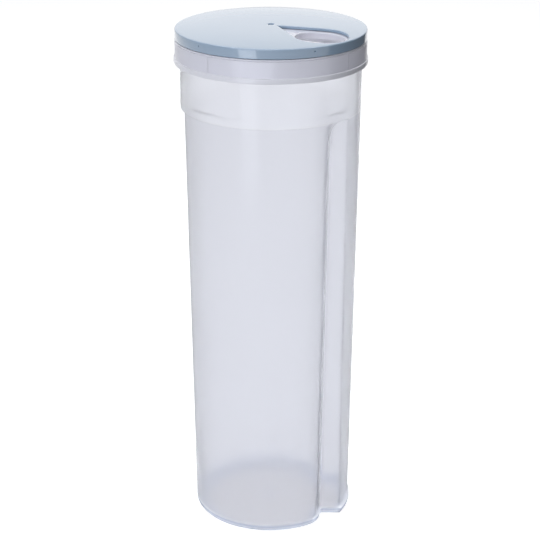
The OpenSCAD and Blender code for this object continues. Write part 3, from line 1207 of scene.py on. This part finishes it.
    def gate_cutter(self) -> Piece:
        """Builds the solid that leaves the gate's dimple in the plate.

        Returns:
            The object.
        """
        foot, r = self.under_dial(self.gate_at, self.gate_depth), self.gate_r
        return lofted("gate_cutter", [
            (turned(circle(size, 48) + [self.gate_at, 0], SPOUT_TURN), z)
            for size, z in ((r - 0.15, foot), (r, foot + 0.12), (r, foot + 2))
        ])

    def build(self) -> Piece:
        """Builds the lid as one closed moulding.

        Returns:
            The object.
        """
        lid = self.turned_part()
        combined(lid, self.collar(), Join.ADD)
        combined(lid, self.hole_cutter(), Join.CUT)
        combined(lid, self.gate_cutter(), Join.CUT)
        return lid

    def witness_line(self) -> Piece:
        """Builds one fine upright moulding line for the skirt, at direction 0.

        Returns:
            The object, which the round tree repeats.
        """
        s = self.sizes
        bottom = s.hem_z + self.hem_h + 0.35
        top = s.ledge_z - self.flange_h - self.notch - 0.1
        half = [[-0.2, 0.22], [0.005, 0.16], [self.line_out, 0.05]]
        section = np.array([[s.lid_r + out, -y] for out, y in half]
                           + [[s.lid_r + out, y] for out, y in reversed(half)])
        return lofted("lid_moulding_lines", [(section, bottom), (section, top)], sharp=60)


@dataclass(frozen=True)
class SealRing:
    """The soft ring between the lid and the canister's rim."""

    radius: float = 47.25
    height: float = 266.85
    width: float = 1.6
    thickness: float = 1.5
    edge: float = 0.25

    def build(self, material: bpy.types.Material) -> Piece:
        """Builds the ring.

        Args:
            material: What it is made of.

        Returns:
            The object.
        """
        seal = Skin().build("seal_gasket")
        ring_tree().bake(
            seal, 40, Ring_radius=self.radius * MM, Height=self.height * MM,
            Width=self.width * MM, Thickness=self.thickness * MM, Edge=self.edge * MM,
            Material=material,
        )
        return seal


# -------- dial


@dataclass
class Dial:
    """The turning dial: domed plate with its opening, skirt, tabs and centre pin."""

    sizes: LidSizes
    edge_r: float = 0.7
    soft: float = 0.3
    opening_soft: float = 0.4
    fillet: float = 0.12
    gate_r: float = 1.75
    gate_depth: float = 0.9
    tab_count: int = 5
    tab_turn: float = -64.3
    tab_w: float = 9.0
    tab_reach: float = 0.75
    pit_r: float = 0.38
    pit_z: float = 272.4
    pit_depth: float = 1.0
    pin_r: float = 3.0
    pin_bore: float = 1.7
    barb: float = 0.45
    barb_h: float = 1.7
    slot_h: float = 5.2

    def build(self) -> Piece:
        """Builds the plate and skirt flat, with the dome left to the dome's tree.

        Returns:
            The object.
        """
        s, soft, fillet = self.sizes, self.soft, self.fillet
        skin = Skin()
        top, under = s.dome.top_z, s.dome.top_z - s.dial_t
        crown_r, inner, drop = s.lid_r - self.edge_r, s.dial_in_r, s.opening.points
        rows = [(crown_r + self.edge_r - inset, top - down, 1)
                for inset, down in rounding(self.edge_r, 8)]
        rows += [(r, z, 0) for r, z in arc((s.lid_r - soft, s.dial_z + soft), soft, 0, -90, 5)]
        rows += [(inner + soft, s.dial_z, 0), (inner, s.dial_z + soft, 0),
                 (inner, under - fillet, 1), (inner - fillet, under, 1)]
        skin.bands([skin.loop(circle(r), z, domed) for r, z, domed in rows])
        rows = [(inset, top - down) for inset, down in rounding(self.opening_soft, 6)]
        rows += [(0.0, under + 0.05), (0.05, under)]
        skin.bands([skin.loop(drop(grow), z, 1) for grow, z in rows])
        rows = [(inset, top - down) for inset, down in rounding(fillet, 3)]
        rows += [(0.0, top - self.gate_depth + 0.15), (-0.15, top - self.gate_depth)]
        well = [skin.loop(circle(self.gate_r + grow, 56), z, 1) for grow, z in rows]
        skin.bands(well)
        skin.cap(well[-1])
        holes = [drop(self.opening_soft), circle(self.gate_r + fillet, 56)]
        skin.patch(circle(crown_r), holes, top, domed=1, pitch=1.5)
        skin.patch(circle(inner - fillet), [drop(0.05)], under, domed=1, pitch=2.5)
        return skin.build("dial_plate", sharp=38)

    def pit_cutter(self) -> Piece:
        """Builds the solid of one ejector pit in the skirt, at direction 0.

        Returns:
            The object, which the round tree repeats.
        """
        foot, r = self.sizes.lid_r - self.pit_depth, self.pit_r
        cos_a, sin_a = circle(1.0, 16).T
        return lofted("pit_cutter", [
            (np.column_stack([np.full(16, x), size * cos_a]), self.pit_z + size * sin_a)
            for x, size in ((foot, r - 0.1), (foot + 0.1, r), (self.sizes.lid_r + 0.5, r))
        ])

    def snap_tab(self) -> Piece:
        """Builds one snap tab at direction 0, which the round tree repeats.

        Returns:
            The object.
        """
        s = self.sizes
        profile = np.array([(0.2, 0.0), (-0.1, 0.0), (-self.tab_reach, 0.4),
                            (-self.tab_reach, 0.8), (0.2, 0.8)])
        r, z = s.dial_in_r + profile[:, 0], s.dial_z + 0.3 + profile[:, 1]
        half = math.degrees(math.asin(self.tab_w / 2 / s.dial_in_r))
        return lofted("dial_snap_tabs", [
            (np.column_stack([r * math.cos(a), r * math.sin(a)]), z)
            for a in np.radians(np.linspace(-half, half, 17))
        ], sharp=30)

    def centre_pin(self) -> Piece:
        """Builds the split pin that turns in the lid's hub.

        Returns:
            The object.
        """
        barb_z = self.sizes.hub_z - self.sizes.dial_gap
        end_z = barb_z - self.barb_h
        slot_z = end_z + self.slot_h
        top_z = self.sizes.dome.top_z - self.sizes.dial_t + 0.3
        skin = Skin()
        profile = [(self.pin_bore, end_z), (self.pin_r - self.barb, end_z),
                   (self.pin_r + self.barb, barb_z - 0.3), (self.pin_r + self.barb, barb_z),
                   (self.pin_r, barb_z), (self.pin_r, slot_z), (self.pin_bore, slot_z)]
        r, heights = np.array(profile).T
        start = np.degrees(np.arcsin(self.pin_bore / 2 / r))
        for side in (0, 180):
            turns = [np.radians(side + mix(start, 180 - start, share))
                     for share in np.linspace(0, 1, 25)]
            skin.solid([
                skin.loop(np.column_stack([r * np.cos(a), r * np.sin(a)]), heights) for a in turns
            ])
        skin.solid([skin.loop(circle(self.pin_r, 48), z) for z in (slot_z - 0.01, top_z)])
        return skin.build("dial_centre_pin", sharp=30)


# -------- studio


@dataclass(frozen=True)
class Lamp:
    """A soft rectangular lamp that faces the middle of the object. Lengths are metres."""

    name: str
    at: tuple[float, float, float]
    size: tuple[float, float]
    watts: float
    tone: Rgb
    seen_through: bool = True
    aim: tuple[float, float, float] = (0.0, 0.0, 0.16)

    def build(self) -> None:
        """Adds the lamp."""
        data = bpy.data.lights.new(self.name, "AREA")
        data.shape = "RECTANGLE"
        data.size, data.size_y = self.size
        data.energy = self.watts
        data.color = self.tone
        lamp = placed(self.name, data)
        lamp.location = self.at
        heading = Vector(self.aim) - Vector(self.at)
        lamp.rotation_euler = heading.to_track_quat("-Z", "Y").to_euler()
        lamp.visible_transmission = self.seen_through


COOL: Rgb = (0.90, 0.93, 1.0)
LAMPS = (
    Lamp("key_lamp", (-0.55, -1.35, 0.9), (1.4, 1.4), 12.6, (0.86, 0.90, 1.0)),
    Lamp("top_lamp", (0.0, 0.25, 1.5), (1.3, 1.3), 13.0, COOL),
    Lamp("back_lamp", (0.0, 1.25, 0.76), (1.5, 0.9), 1.25, COOL, seen_through=False),
    Lamp("low_lamp", (-0.25, -0.5, 0.11), (0.2, 0.2), 0.35, (0.88, 0.92, 1.0)),
)


def panel(name: str, corners: np.ndarray, tone: float, glow: float = 0.0) -> Piece:
    """Makes a flat matte panel.

    Args:
        name: Its name.
        corners: Its corners, in metres.
        tone: How pale it is.
        glow: How strongly it shines where it is seen directly.

    Returns:
        The panel.
    """
    made, t = new_material(name)
    surface = t.node("ShaderNodeBsdfDiffuse", {"Color": (tone, tone, tone, 1)})
    if glow:
        level = t.maths("MULTIPLY", t.seen_directly(), glow)
        shine = t.node("ShaderNodeEmission", {"Strength": level})
        surface = t.node("ShaderNodeAddShader", {0: surface.outputs[0], 1: shine.outputs[0]})
    t.node("ShaderNodeOutputMaterial", {"Surface": surface.outputs[0]})
    mesh = bpy.data.meshes.new(name)
    mesh.from_pydata(corners.tolist(), [], [tuple(range(len(corners)))])
    mesh.materials.append(made)
    return placed(name, mesh)


@dataclass(frozen=True)
class Studio:
    """The pale floor, the plain light and the camera. Lengths are metres."""

    floor_r: float = 3.0
    floor_glow: float = 0.8
    floor_tone: float = 0.5
    world_level: float = 0.14
    flag_x: float = 0.36
    flag_y: tuple[float, float] = (-0.15, 0.55)
    flag_z: tuple[float, float] = (0.0, 0.4)
    flag_tone: float = 0.17
    sensor: float = 36.0
    lens: float = 109.93
    camera_at: tuple[float, float, float] = (-0.0001, -0.841, 0.463)
    camera_turn: tuple[float, float, float] = (68.98, -0.1755, 0.0674)
    bounces: int = 24
    matte_bounces: int = 12
    clear_layers: int = 16

    def floor(self) -> Piece:
        """Returns the round pale floor, which keeps the object's soft shadow."""
        corners = np.column_stack([circle(self.floor_r, 96), np.zeros(96)])
        return panel("studio_floor", corners, self.floor_tone, self.floor_glow)

    def flag(self) -> Piece:
        """Makes the dark card beside the object, which keeps its right edge in shade.

        Returns:
            The card, which only reflections see.
        """
        x, (near, far), (low, high) = self.flag_x, self.flag_y, self.flag_z
        corners = np.array([[x, far, low], [x, near, low], [x, near, high], [x, far, high]])
        card = panel("studio_flag", corners, self.flag_tone)
        card.visible_camera = card.visible_transmission = card.visible_shadow = False
        return card

    def world(self) -> None:
        """Makes the plain world: white where it is seen, softer where it lights."""
        world = bpy.data.worlds.new("studio")
        world.use_nodes = True
        world.node_tree.nodes.clear()
        bpy.context.scene.world = world
        t = ShaderTree(world.node_tree)
        level = t.maths("MAXIMUM", t.seen_directly(), self.world_level)
        sky = t.node("ShaderNodeBackground", {"Strength": level})
        t.node("ShaderNodeOutputWorld", {"Surface": sky.outputs[0]})

    def camera(self) -> None:
        """Makes the camera, a little above the lid and looking down at the canister."""
        data = bpy.data.cameras.new("camera")
        data.sensor_width = self.sensor
        data.lens = self.lens
        camera = placed("camera", data)
        camera.location = self.camera_at
        camera.rotation_euler = tuple(math.radians(a) for a in self.camera_turn)
        bpy.context.scene.camera = camera

    def build(self) -> None:
        """Sets up the whole studio."""
        self.floor()
        self.flag()
        self.world()
        for lamp in LAMPS:
            lamp.build()
        self.camera()
        scene = bpy.context.scene
        scene.view_settings.view_transform = "Standard"
        scene.cycles.use_denoising = True
        scene.cycles.max_bounces = self.bounces
        scene.cycles.transmission_bounces = self.bounces
        scene.cycles.glossy_bounces = self.bounces
        scene.cycles.diffuse_bounces = self.matte_bounces
        scene.cycles.transparent_max_bounces = self.clear_layers


# -------- assembly


def settle(piece: Piece, body: Body, slot: Slot, node: str | None = None) -> None:
    """Puts a finished piece on its body.

    Args:
        piece: The piece.
        body: The body that it rides on.
        slot: The slot that its finish comes from; not used.
        node: The node that it stands for, if any.
    """
    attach(piece, body.value)
    if node:
        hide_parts(node)
    LOG.info("%s: %d faces, rides on %s", piece.name, len(piece.data.polygons), body.value)


def dressed(piece: Piece, material: bpy.types.Material) -> Piece:
    """Gives a piece one material in place of any others.

    Args:
        piece: The piece.
        material: The material.

    Returns:
        The piece.
    """
    piece.data.materials.clear()
    piece.data.materials.append(material)
    return piece


def main() -> None:
    """Builds every piece in order, and the studio round them."""
    logging.basicConfig(level=logging.INFO, format="%(name)s: %(message)s")
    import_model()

    group = moulded_group()
    frosted, white, blue, rubber = (f.material(group) for f in (FROSTED, WHITE, BLUE, RUBBER))
    sizes = LidSizes()
    settle(dressed(Canister().build(), frosted), Body.JAR, Slot.FROSTED, "canister")

    round_axis = round_tree()
    cap = LidCap(sizes)
    settle(dressed(cap.build(), white), Body.LID, Slot.WHITE, "lid_base")
    lines = cap.witness_line()
    first_line = math.radians(cap.line_turn)
    round_axis.bake(lines, 60, Count=cap.line_count, First_turn=first_line, Material=white)
    settle(dressed(lines, white), Body.LID, Slot.WHITE)
    seal = SealRing().build(rubber)
    settle(dressed(seal, rubber), Body.LID, Slot.SEAL, "seal_ring")

    turner = Dial(sizes)
    around = {
        "Count": turner.tab_count, "First_turn": math.radians(turner.tab_turn), "Material": blue
    }
    rise, radius = sizes.dome.rise * MM, sizes.dome.radius * MM
    plate = turner.build()
    dome_tree().bake(plate, 38, Rise=rise, Radius=radius, Material=blue)
    pits = turner.pit_cutter()
    round_axis.bake(pits, 30, **around)
    combined(plate, pits, Join.CUT)
    settle(dressed(plate, blue), Body.DIAL, Slot.BLUE, "dial")
    tabs = turner.snap_tab()
    round_axis.bake(tabs, 30, **around)
    settle(dressed(tabs, blue), Body.DIAL, Slot.BLUE)
    settle(dressed(turner.centre_pin(), blue), Body.DIAL, Slot.BLUE)

    Studio().build()


if __name__ == "__main__":
    main()
